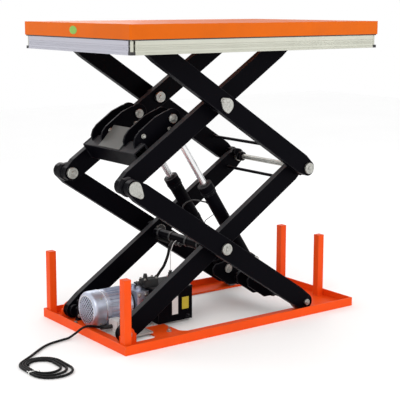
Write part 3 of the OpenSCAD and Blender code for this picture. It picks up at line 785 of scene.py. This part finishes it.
def make_terminal_box():
    """Lid, gasket and screws on the near face of the terminal box."""
    (x0, y, z0), (x1, _, z1) = node_box("terminal_box")
    x, z = (x0 + x1) / 2, (z0 + z1) / 2
    lid = box((x, y - 3.5, z), (x1 - x0 + 3, 7, z1 - z0 + 3), 2.2)
    place("terminal_box_lid", lid, "grey_plastic")
    gasket = box((x, y + 1.2, z), (x1 - x0 + 1.4, 1.6, z1 - z0 + 1.4), 0.4)
    place("terminal_box_gasket", gasket, "black_plastic")
    head = [(0, 0), (0, 2.6), (1.2, 2.4), (1.8, 1.2), (1.0, 0.8), (1.0, 0)]
    screws = [turned(lathe(head, 16), (u, y - 7, v), NEARWARD)
              for u in (x0 + 5, x1 - 5) for v in (z0 + 5, z1 - 5)]
    place("terminal_box_screws", screws, "zinc_steel")


def make_gland():
    """The tapered, ribbed boot where the cord leaves its gland."""
    profile = [(0, 0), (0, 8.4)]
    for k in range(7):
        x = 2 + k * 4.4
        r = 8.2 - k * 0.36
        profile += [(x, r), (x + 2.4, r), (x + 2.8, r - 1.0), (x + 4.0, r - 1.0)]
    profile += [(34, 5.3), (34, 0)]
    start = Vector(CORD_ROUTE[0]) / MM
    boot = turned(lathe(profile, 20), start, (-1, 0.02, -0.01))
    return place("cord_boot", boot, "black_plastic")


# ---------- power pack ----------

def make_bracket_tops():
    """Orange skin on the power pack's two bracket plates, with their curved corners."""
    rail, inner, left, right, corner, tip = 230, 60, -395, -275, 34, 8
    skin = 0.4
    bend = corner - skin
    arc = [radians(d) for d in range(0, 77, 8)]
    curve = [(bend * cos(a), rail - corner + bend * sin(a)) for a in arc]
    outline = [(left - skin, inner - skin), (right + skin, inner - skin)]
    outline += [(right + corner - x, y) for x, y in curve]
    outline += [(right + corner - tip, rail), (left - corner + tip, rail)]
    outline += [(left - corner + x, y) for x, y in reversed(curve)]
    for name, side in SIDES:
        shape = outline if side > 0 else [(x, -y) for x, y in reversed(outline)]
        bm = bmesh.new()
        low, high = [[bm.verts.new((x, y, z)) for x, y in shape] for z in (skin, 8.5)]
        bm.faces.new(list(reversed(low)))
        bm.faces.new(high)
        stitch(bm, [low, high])
        place(f"bracket_plate_skin_{name}", bm, "orange_base")


def make_tank():
    """Rolled rim, lid bolts, drain plug and the two blank plates of the oil tank."""
    (x0, y0, _), (x1, y1, top) = node_box("oil_tank")
    x, y = (x0 + x1) / 2, (y0 + y1) / 2
    rim = [box((x, edge, top - 3), (x1 - x0 + 3, 5, 6), 1) for edge in (y0 - 0.5, y1 + 0.5)]
    rim += [box((edge, y, top - 3), (5, y1 - y0, 6), 1) for edge in (x0 + 1.5, x1 - 1.5)]
    place("tank_rim", rim, "black_paint")
    bolts = [turned(hex_bolt(8, 5), (u, v, top), UP)
             for u in (x0 + 8, x, x1 - 8) for v in (y0 + 8, y1 - 8)]
    place("tank_lid_bolts", bolts, "zinc_steel")
    plug = joined([hex_bolt(16, 9), moved(hex_bolt(9, 4, False), (9, 0, 0))])
    place("tank_drain_plug", turned(plug, (x1 - 24, y0, 24), NEARWARD), "black_paint")
    for tint, middle, z, wide, tall in (("white", -217, 82, 32, 80), ("yellow", -162, 86, 36, 54)):
        blank = box((middle, y0 - 0.5, z), (wide, 0.8, tall), 0.25)
        place(f"tank_label_{tint}", blank, f"{tint}_plastic")


def make_manifold():
    """Block on top of the pump, with its port, plug and bolts."""
    port = [(0, 0), (0, 12), (4, 12), (5, 10), (16, 10), (18, 8), (24, 8), (25, 6), (25, 0)]
    plug = [(0, 0), (0, 11), (6, 11), (7, 8), (22, 8), (24, 6), (24, 0)]
    block = [box((-292, 0, 178), (72, 50, 35), 3),
             turned(lathe(port, 24), (-312, -4, 195), UP),
             turned(lathe(plug, 6), (-328, 0, 178), (-1, 0, 0))]
    place("valve_manifold", block, "black_plastic")
    bolts = [turned(hex_bolt(8, 6), (x, y, 195.5), UP) for x in (-322, -262) for y in (-18, 18)]
    place("manifold_bolts", bolts, "zinc_steel")


def make_pump():
    """Plugs on the pump's near face and the seam where it meets the motor."""
    x, face, _ = node_box("pump_block")[0]
    plugs = [turned(hex_bolt(13, 6), (u, face, z), NEARWARD) for z in (70, 132) for u in (-352, -318)]
    place("pump_plugs", plugs, "zinc_steel")
    seam = x - MOTOR_PLACE[0]
    place("pump_seam", ring(53, 56, seam - 4, seam, 1, 48), "black_plastic", "base", MOTOR)


def valve_x():
    low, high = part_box("solenoid_valve")
    return (low[0] + high[0]) / 2 / MM


def make_valve():
    """Red ring, coil can and nut of the lowering valve, which stands upright."""
    for name, size, z, finish in (("red_ring", (11, 14.5, 0, 6, 1.5), 184, "red_plastic"),
                                  ("coil_can", (12, 17, 0, 15, 2.0), 162, "black_plastic"),
                                  ("nut", (7, 10.5, 0, 8, 1.2, 6), 198, "black_plastic")):
        place(f"valve_{name}", turned(ring(*size), (valve_x(), 0, z), UP), finish)


def make_filler_cap():
    """Grips round the filler cap and its crown."""
    low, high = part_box("filler_cap")
    x, y, top = (low[0] + high[0]) / 2 / MM, (low[1] + high[1]) / 2 / MM, high[2] / MM
    grips = [box((x + 18.6 * cos(a), y + 18.6 * sin(a), top - 7), (2.4, 2.4, 12), 0.8)
             for a in spokes(14)]
    crown = lathe([(0, 0), (0, 14), (1.5, 12), (2.5, 5), (2.5, 0)], 28)
    grips.append(turned(crown, (x, y, top), UP))
    place("filler_cap_grips", grips, "black_plastic")


def make_plate_stud():
    """Washer, nut and thread of the stud on the near bracket plate."""
    x, y, top = -318, -194, 8
    washer = lathe([(0, 0), (0, 11), (1.6, 11), (2, 10.4), (2, 0)], 32)
    thread = lathe([(0, 0), (0, 4.6), (12, 4.6), (13, 3.6), (13, 0)], 20)
    stud = [turned(washer, (x, y, top), UP), turned(hex_bolt(15, 9), (x, y, top + 2), UP),
            turned(thread, (x, y, top + 10), UP)]
    place("rail_plate_stud", stud, "zinc_steel")


def make_pack():
    make_tank()
    make_manifold()
    make_pump()
    make_valve()
    make_filler_cap()
    lips = [box((-465, -174.6, 13.4), (156, 2.8, 5), 0.8), box((-387.4, -132, 13.4), (2.8, 84, 5), 0.8)]
    place("tray_edge", lips, "tray_steel")
    make_bracket_tops()
    make_plate_stud()


# ---------- hoses and wires ----------

HOSE_R = 6.5


def make_hoses():
    """Hose and wire from the pack up to the lower cross tube, and what is clipped to the tube."""
    tube_at = (BASE_PIN + RISE * TUBE_U * MM + RISE_UP * TUBE_V * MM) / MM
    direction = Vector((0.72, 0.20, 0.42)).normalized()
    start = Vector((-260, 6, 182))
    place("hose_end_pack", [turned(p, start, direction) for p in ferrule(HOSE_R)], "black_plastic")
    into_tube = Vector((0.62, 0.0, 0.55)).normalized()
    finish = Vector((tube_at.x - 19, 28, tube_at.z - 16))
    place("hose_end_tube", [turned(p, finish, -into_tube) for p in ferrule(HOSE_R)],
          "black_plastic", "lower_inner_arms")
    route = [start + direction * 3, start + direction * 24, (-216, 20, 212), (-197, 22, 230),
             (-183, 24, 252), (-171, 25, 278), (-163, 27, 303),
             finish - into_tube * 24, finish - into_tube * 9]
    mesh, path = hose_mesh("pressure_hose", route, HOSE_R)
    hose = add("pressure_hose", mesh, "cord_rubber", None)
    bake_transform(hose)

    x = valve_x()
    route = [(x, 0, 212), (x, 0, 222), (x, 0, 250), (x + 1, 0, 280), (x + 4, 0, 305),
             (x + 12, 0, 325), (tube_at.x - 34, 0, tube_at.z - 12), (tube_at.x - 21, 0, tube_at.z - 4)]
    mesh, path = hose_mesh("valve_wire", route, 1.8, 8)
    wire = add("valve_wire", mesh, "grey_plastic", None)
    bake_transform(wire)

    clips = []
    for y in (-150, -60, 60, 150):
        clips.append(turned(ring(21, 24, -6, 6, 0.8), (TUBE_U, y, TUBE_V), (0, 1, 0)))
        clips.append(box((TUBE_U, y, TUBE_V - 27), (8, 12, 8), 1))
    place("tube_clips", clips, "black_plastic", *LOWER_IN)
    nut = [(0, 0), (0, 10), (3, 11), (9, 11), (10, 9), (10, 0)]
    union = [turned(lathe(nut, 6), (TUBE_U - 25, y, TUBE_V), (-1, 0, 0)) for y in (-28, 0)]
    place("tube_unions", union, "black_plastic", *LOWER_IN)
    run = [(tube_at.x - back, y, tube_at.z - drop)
           for back, y, drop in ((8, 60, 24), (10, 80, 26), (10, 110, 25), (10, 150, 25), (9, 176, 24))]
    mesh, path = hose_mesh("tube_hose", run, HOSE_R)
    add("tube_hose", mesh, "cord_rubber", "lower_inner_arms")


BARREL_Y = 128      # middle of each barrel, across the table


def on_cylinder(u, v, y):
    return CYLINDER @ (Vector((u, y, v)) * MM)


def pipe_nut():
    return lathe([(0, 0), (0, 8), (7, 8), (8, 6.5), (14, 5.5), (14, 0)], 6)


def make_cylinder_lines():
    """Pipe and hose between the two barrels, and the thin wire of the end switch."""
    y = BARREL_Y
    bridge = [(372, 33, y - 12), (380, 44, y - 22), (396, 50, y - 36), (424, 47, 72), (446, 36, 40),
              (457, 25, 0), (458, 20, -38), (456, 17, -72), (452, 12, 6 - y + 26)]
    path = smooth_path([on_cylinder(*p) for p in bridge])
    pipe = add("bridge_pipe", tube_mesh("bridge_pipe", path, 3.5 * MM), "black_plastic",
               "cylinder_barrels")
    ends = [turned(pipe_nut(), (372, y - 8, 27), (0.15, -0.5, 0.8)),
            turned(pipe_nut(), (452, 28 - y, 11), (0.1, 1, 0.1))]
    place("bridge_pipe_ends", ends, "black_plastic", *BARRELS)

    half = [(78, -42, y), (79, -48, y - 4), (84, -53, y - 16), (92, -55, y - 38), (96, -56, 50)]
    link = half + [(97, -56, 0)] + [(u, v, -side) for u, v, side in reversed(half)]
    path = smooth_path([on_cylinder(*p) for p in link])
    hose = add("port_hose", tube_mesh("port_hose", path, 4 * MM), "cord_rubber", "cylinder_barrels")
    nuts = [turned(ring(6, 11, 0, 12, 1, 6), (78, side * y, -42), (0, 0, -1)) for side in (-1, 1)]
    place("port_nuts", nuts, "zinc_steel", *BARRELS)

    loop = [(8, -98, 468), (-8, -94, 462), (-30, -88, 448), (-42, -80, 436), (-40, -74, 416),
            (-25, -70, 400), (-4, -66, 385), (18, -62, 376), (36, -66, 380), (48, -78, 392),
            (50, -92, 404), (48, -98, 412)]
    mesh, path = hose_mesh("switch_wire", loop, 1.6, 8)
    wire = add("switch_wire", mesh, "black_plastic", "cylinder_barrels")

    for name, side in SIDES:
        at = Matrix.Translation(Vector((0, side * y * MM, 0))) @ CYLINDER
        rings = [ring(30, 34.2, 500, 508, 1.2, 8), ring(31, 34.2, 511, 520, 1.2, 40),
                 ring(29, 32.2, 60, 66, 1, 40)]
        place(f"gland_rings_{name}", rings, "black_paint", "cylinder_barrels", at)
        place(f"rod_wiper_{name}", ring(15.2, 20, 550, 556, 1.5, 32), "black_plastic",
              "cylinder_barrels", at)
        place(f"barrel_band_{name}", ring(29.5, 31.8, 300, 318, 0.8, 40), "black_paint",
              "cylinder_barrels", at)


# ---------- pins, plates and welds ----------

HALF = ARM_PITCH / 2
OUTER_FACE = 300        # outer sides of the outer arms, across the table
KEEPER_FACE = 307.5     # outer sides of the keeper plates
GAP_FACE = 234          # where the spacers between the arms begin


def outward(side):
    return (0, side, 0)


def pin_faces(u, y, v, radius, way):
    """Turned face of a pin that looks outward or inward across the table."""
    return [turned(part, (u, y, v), outward(way)) for part in pin_face(radius)]


def keeper_bolts(across, u, v, pin_u, side):
    """A keeper plate's bolt, and the pin's low crowned end in the middle of the plate."""
    y = side * (KEEPER_FACE - 0.5)
    crown = lathe([(0, 0), (0, 13), (1.5, 11.5), (1.5, 0)], 32)
    return [turned(hex_bolt(across, 6), (u, y, v), outward(side)),
            turned(crown, (pin_u, y, 0), outward(side))]


def make_keepers(name, side):
    """Keeper plates of the left middle pin and the upper centre pin."""
    low, high = side * (OUTER_FACE + 0.3), side * KEEPER_FACE
    place(f"mid_keeper_{name}", plate([(0, 0, 29), (39, -11, 12.5)], low, high), "zinc_steel", *LOWER_OUT)
    place(f"mid_keeper_bolt_{name}", keeper_bolts(16, 39, -11, 0, side), "zinc_steel", *LOWER_OUT)
    centre = UPPER_OUTER @ Matrix.Translation(Vector((HALF * MM, 0, 0)))
    place(f"upper_keeper_{name}", plate([(0, 0, 29), (-33, 4, 10.5), (16, -20, 9)], low, high),
          "zinc_steel", "upper_outer_arms", centre)
    place(f"upper_keeper_bolt_{name}", keeper_bolts(14, HALF - 30, 4, HALF, side), "zinc_steel",
          *UPPER_OUT)


def make_pin_faces(name, side):
    """Both ends of the pins, the roller axle's end and the cap over the lower centre pin."""
    pin_r, eye_pin_r, axle_r = 24.6, 19.6, 14
    inner_end = side * 187.7
    faces = [part for u in (HALF, ARM_PITCH) for part in pin_faces(u, side * 308.3, 0, pin_r, side)]
    place(f"inner_pin_faces_{name}", faces, "zinc_steel", *LOWER_IN)
    cap = lathe([(0, 0), (0, 25.9), (11, 25.9), (13.4, 23.5), (13.4, 0)], 40)
    place(f"centre_cap_{name}", turned(cap, (HALF, side * 201.0, 0), outward(-side)),
          "black_plastic", *LOWER_IN)
    place(f"mid_pin_inner_{name}", pin_faces(0, inner_end, 0, pin_r, -side), "zinc_steel", *LOWER_OUT)
    place(f"upper_pin_inner_{name}", pin_faces(HALF, inner_end, 0, pin_r, -side), "zinc_steel",
          *UPPER_OUT)
    place(f"axle_face_{name}", pin_faces(ARM_PITCH, side * 308, 0, axle_r, side), "zinc_steel",
          *LOWER_OUT)
    for eye, u, v, body, matrix in (("head", 367, 57, *UPPER_IN), ("foot", FOOT_U, 0, *LOWER_OUT)):
        faces = pin_faces(u, side * 176, v, eye_pin_r, side) + pin_faces(u, side * 80, v, eye_pin_r, -side)
        place(f"{eye}_pin_faces_{name}", faces, "zinc_steel", body, matrix)


def make_spacers(name, side):
    """Spacers between the arms, and the socket that holds the cross tube's right end."""
    for where, radius, u, body, matrix in (("mid", 41, 0, *UPPER_IN),
                                           ("right", 38, ARM_PITCH, *LOWER_IN)):
        spacer = turned(ring(29.5, radius, 0, 28, 4, 8), (u, side * GAP_FACE, 0), outward(side))
        place(f"{where}_spacer_{name}", spacer, "black_paint", body, matrix)
    socket = [turned(ring(12, 22, 0, 26, 3), (ARM_PITCH, side * 187, 0), outward(-side)),
              prism(belt([(ARM_PITCH - 8, 34, 14), (ARM_PITCH, 10, 18)]), side * 180, side * 199, 2)]
    place(f"tube_socket_{name}", socket, "black_paint", *LOWER_IN)


def make_pin_plates():
    for name, side in SIDES:
        make_keepers(name, side)
        make_pin_faces(name, side)
        make_spacers(name, side)


def make_base_hinges():
    """Bearing block on the inner side of each left hinge, its fixings, and one floor bolt."""
    at = Matrix.Translation(BASE_PIN)
    for name, side in SIDES:
        y = side * 175.5
        block = [box((21, y, -12), (46, 20, 58), 3), box((20, y, -39), (48, 21, 6), 1.5),
                 box((23, y, 33), (36, 19, 34), 3)]
        place(f"hinge_block_{name}", block, "black_paint", "base", at)
        place(f"hinge_block_nut_{name}", turned(hex_bolt(15, 10), (28, y, 50), UP),
              "black_plastic", "base", at)
        place(f"hinge_block_bolt_{name}", turned(hex_bolt(13, 8), (8, side * 165.5, -20), outward(-side)),
              "zinc_steel", "base", at)
        face = joined([ring(6, 14.6, 0, 3, 1.2, 32), lathe([(0, 0), (0, 7), (2, 6), (2, 0)], 24)])
        place(f"hinge_pin_face_{name}", turned(face, (0, side * 250.2, 0), outward(side)),
              "zinc_steel", "base", at)
    x, y, z = -578, 148, 8
    washer = lathe([(0, 0), (0, 11), (1.6, 11), (2.0, 10), (2.0, 0)], 28)
    place("floor_bolt_washer", turned(washer, (x, y, z), UP), "black_plastic")
    place("floor_bolt_head", turned(hex_bolt(13, 6), (x, y, z + 2), UP), "zinc_steel")


def make_bracket_details():
    """Guard plate, nuts, welds and lips of the bracket that holds the cylinders' upper ends."""
    left, right, top = 119, 184, 67     # outline of the cross member, along and above the arm
    outline = [(124, 66.5), (168, 74), (236, 92), (236, 95), (166, 77.5), (124, 69.8)]
    place("bracket_guard", prism(outline, -82, 82, 0.6), "guard_steel", *UPPER_IN)
    nuts = []
    welds = []
    for side in (-1, 1):
        for reach, way in ((171, side), (85, -side)):
            nuts += [turned(hex_bolt(14, 9), (u, side * reach, v), outward(way))
                     for u, v in ((330, 30), (312, 10), (210, 84))]
        for y in (side * 85, side * 93, side * 163, side * 171):
            corners = [(152, y, top), (182, y, top), (183, y, top - 1), (183, y, 0)]
            welds.append(square_bead(corners, 2.2))
        y = side * 199
        corners = [(118, y, -8), (right, y, -8), (right, y, top - 1), (118, y, top - 1)]
        welds.append(square_bead(corners, 3))
    place("bracket_nuts", nuts, "zinc_steel", *UPPER_IN)
    place("bracket_welds", welds, "black_paint", *UPPER_IN)
    lips = [box((left, 0, top), (5, 396, 5), 1.5), box((right, 0, top), (4, 396, 4), 1.2)]
    place("bracket_lips", lips, "black_paint", *UPPER_IN)


def make_arm_welds():
    """Beads round the tubes where they meet the arms, and round the pins' bosses."""
    tubes = ((*LOWER_OUT, 1012, -6, 268.5, 28.5),
             (*LOWER_IN, ARM_PITCH - 78, -8, 198.5, 7.5),
             (*UPPER_IN, ARM_PITCH - 70, 0, 198.5, 15.5),
             (*UPPER_OUT, ARM_PITCH - 130, 25, 268.5, 7.5))
    for body, matrix, u, v, y, r in tubes:
        beads = [round_bead(u, v, side * y, r) for side in (-1, 1)]
        place(f"tube_welds_{body}", beads, "black_paint", body, matrix)
    bosses = ((*LOWER_IN, (HALF, ARM_PITCH)),
              (*UPPER_IN, (0, HALF)))
    for body, matrix, spots in bosses:
        beads = [round_bead(u, 0, side * 231, 31) for u in spots for side in (-1, 1)]
        place(f"boss_welds_{body}", beads, "black_paint", body, matrix)


def make_post_details():
    """Weld bead at the foot of each rest post, and its cap."""
    low, high = node_box("rest_posts")
    post = 33
    beads = []
    caps = []
    for x, y in ((low[0], 289.5), (high[0] - post, 118.5)):
        for side in (-1, 1):
            near, far = side * y, side * (y + post)
            beads.append(square_bead([(x, near, 9), (x + post, near, 9),
                                      (x + post, far, 9), (x, far, 9)], 2.6))
            middle = (x + post / 2, side * (y + post / 2), high[2] - 1.2)
            caps.append(box(middle, (post + 1.5, post + 1.5, 3), 1.2))
    place("post_welds", beads, "orange_base")
    place("post_caps", caps, "orange_base")


def make_welds():
    make_arm_welds()
    make_post_details()
    left, right = node_box("base_end_left")[0][0] + 5, node_box("base_end_right")[1][0] - 5
    beads = []
    for x in (left, right):
        for side in (-1, 1):
            outer, inner = side * 335, side * 232
            beads.append(square_bead([(x, outer, 9), (x, inner, 9), (x, inner, 8.4), (x, outer, 8.4)], 1.8))
    place("base_welds", beads, "orange_base")


# ---------- platform and trip frame ----------

def make_platform_details():
    """A black strip painted as the shadow line under the skirt, the hem of the skirt, ribs along the trip
    frame, and the green mark.
    """
    deck_low, (x, y, _) = node_box("platform_deck")
    skirt = deck_low[2]
    trip_low, (_, face_y, _) = node_box("trip_frame_long")
    face_x = node_box("trip_frame_short")[1][0]
    # Painted shadow: a thin black strip inside the skirt's lower edge stands in for the shadow line under
    # it.
    shadow_strip_x, shadow_strip_y = face_x + 1.6, face_y + 1.6
    strips = [box((0, side * shadow_strip_y, skirt - 1), (2 * x - 16, 0.7, 7), 0.2) for side in (-1, 1)]
    strips += [box((side * shadow_strip_x, 0, skirt - 1), (0.7, 2 * y - 16, 7), 0.2) for side in (-1, 1)]
    place("skirt_shadow_strip", strips, "black_plastic", "platform")
    heights = [(side, trip_low[2] + rise, tall)
               for side in (-1, 1) for rise, tall in ((2.4, 4.5), (24, 2.2), (36, 2.2))]
    ribs = [box((0, side * face_y, z), (2 * face_x - 44, 2.0, tall), 0.5) for side, z, tall in heights]
    place("trip_ribs_long", ribs, "aluminium_section", "trip_frame")
    ribs = [box((side * face_x, 0, z), (2.0, 2 * face_y - 44, tall), 0.5) for side, z, tall in heights]
    place("trip_ribs_end", ribs, "aluminium_end", "trip_frame")
    mark = turned(lathe([(0, 0), (0, 17), (0.5, 16.6), (0.5, 0)], 40), (0, 0, 0), (-1, 0, 0))
    bmesh.ops.scale(mark, vec=(1, 1.75, 1), verts=mark.verts)
    place("skirt_mark", moved(mark, (-x - 0.05, 0, 1279)), "green_plastic", "platform")
    hem = []
    for side in (-1, 1):
        hem.append(box((0, side * (y - 5.4), skirt + 3), (2 * x - 20, 2.6, 6), 0.8))
        hem.append(box((side * (x - 5.4), 0, skirt + 3), (2.6, 2 * y - 20, 6), 0.8))
    place("skirt_hem", hem, "orange_paint", "platform")


def make_tie():
    """A nylon strip round the strands at the left side of the coil, with its lock and tail."""
    left = (COIL_CENTRE.x - COIL_OUTER) / MM
    x0, x1 = left - 6.5, left + 41
    y = COIL_CENTRE.y / MM - 20
    top, low, half, thick = 12.6, 0.6, 2.6, 1.3
    outline = [(x0, low + 4), (x0 + 2, low), (x1 - 2, low), (x1, low + 4),
               (x1, top - 3), (x1 - 3, top), (x0 + 3, top), (x0, top - 3)]
    mid = Vector(((x0 + x1) / 2, 0, (top + low) / 2))
    inside = []
    for x, z in outline:
        inward = (Vector((x, 0, z)) - mid).normalized() * -thick
        inside.append((x + inward.x, z + inward.z))
    bm = bmesh.new()
    loops = [[bm.verts.new((x, y + way, z)) for x, z in edge]
             for edge, way in ((outline, -half), (outline, half), (inside, half), (inside, -half))]
    stitch(bm, loops, closed=True)
    lock = box((x0 + 9, y, top - 0.2), (9, 8, 4), 1.2)
    tail = box((x0 + 2, y + 9, top - 1.2), (4, 16, 1.3), 0.4)
    tie = place("coil_tie", [bm, lock, tail], "white_plastic")
    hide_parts("cord_tie")
    return tie


make_camera()
make_studio()
make_cord()
dress_nodes()
make_motor()
make_terminal_box()
make_pack()
make_hoses()
make_cylinder_lines()
make_pin_plates()
make_base_hinges()
make_bracket_details()
make_welds()
make_platform_details()
